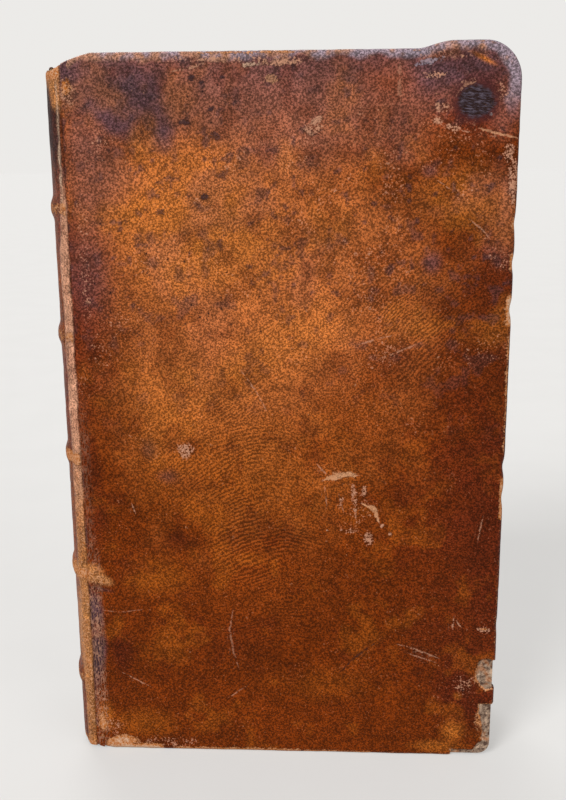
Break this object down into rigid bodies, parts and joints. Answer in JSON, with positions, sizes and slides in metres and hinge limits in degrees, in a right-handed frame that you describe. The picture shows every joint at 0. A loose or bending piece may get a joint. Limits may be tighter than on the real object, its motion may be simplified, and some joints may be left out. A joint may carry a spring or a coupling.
{
  "type": "antique leather book",
  "caption": "Closed antique book bound in worn brown calf over pasteboard, rounded spine with low raised bands, both covers opening at the joints.",
  "frame": {"origin": "middle of the base, where the book stands on its tail", "axes": "+Z from tail to head, -Y out of the front cover, -X out of the spine"},
  "size_m": [0.1305, 0.038, 0.21],
  "materials": {
    "calf": "worn, rubbed at the edges, satin",
    "pasteboard": "grey-beige, fibrous",
    "leaves": "toned edges, matt",
    "endpaper": "toned, matt",
    "hemp_cord": "twisted, matt",
    "endband_thread": "sewn over a core, matt"
  },
  "bodies": {
    "book_block": {"text_block": "leaves", "spine_leather": "calf", "sewing_cord_1": "hemp_cord", "sewing_cord_2": "hemp_cord", "sewing_cord_3": "hemp_cord", "sewing_cord_4": "hemp_cord", "sewing_cord_5": "hemp_cord", "head_endband": "endband_thread", "tail_endband": "endband_thread", "front_flyleaf": "endpaper", "back_flyleaf": "endpaper"},
    "front_cover": {"front_board": "pasteboard", "front_cover_leather": "calf", "front_pastedown": "endpaper", "front_cord_slips": "hemp_cord"},
    "back_cover": {"back_board": "pasteboard", "back_cover_leather": "calf", "back_pastedown": "endpaper", "back_cord_slips": "hemp_cord"}
  },
  "joints": [
    {"name": "front_cover_joint", "type": "hinge", "parent": "book_block", "child": "front_cover", "pos_m": [-0.05735, -0.019, 0.104], "axis": [0, 0, -1], "range_deg": [0, 180]},
    {"name": "back_cover_joint", "type": "hinge", "parent": "book_block", "child": "back_cover", "pos_m": [-0.05735, 0.019, 0.104], "axis": [0, 0, 1], "range_deg": [0, 180]}
  ]
}
